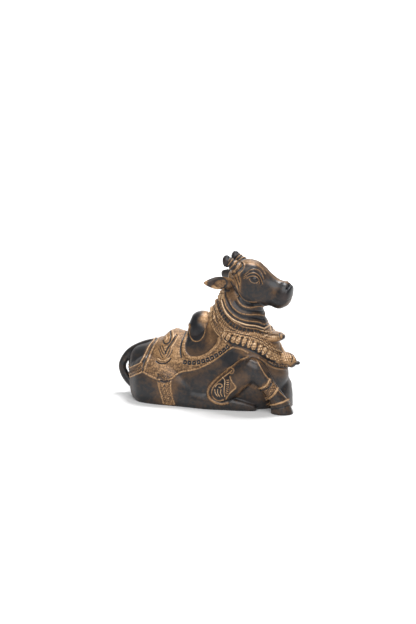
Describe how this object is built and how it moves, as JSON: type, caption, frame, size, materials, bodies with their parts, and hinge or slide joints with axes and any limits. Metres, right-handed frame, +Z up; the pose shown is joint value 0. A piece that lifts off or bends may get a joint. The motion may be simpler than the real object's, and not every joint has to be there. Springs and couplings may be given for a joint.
{
  "type": "nandi bull figure",
  "caption": "Reclining temple bull cast in dark patinated brass, with garlands, a saddle cloth and one raised foreleg, standing on its flat underside as a table or shrine figure.",
  "frame": {"origin": "on the flat underside, in the bull's middle plane, below the middle of its length", "axes": "+X the way the bull looks, +Y its left side, +Z up"},
  "size_m": [0.2244, 0.0974, 0.1765],
  "materials": {
    "dark_brass": "satin, near-black patina rubbed back to tan in the carving"
  },
  "bodies": {
    "root": {"nandi_bull": "dark_brass"}
  },
  "joints": []
}
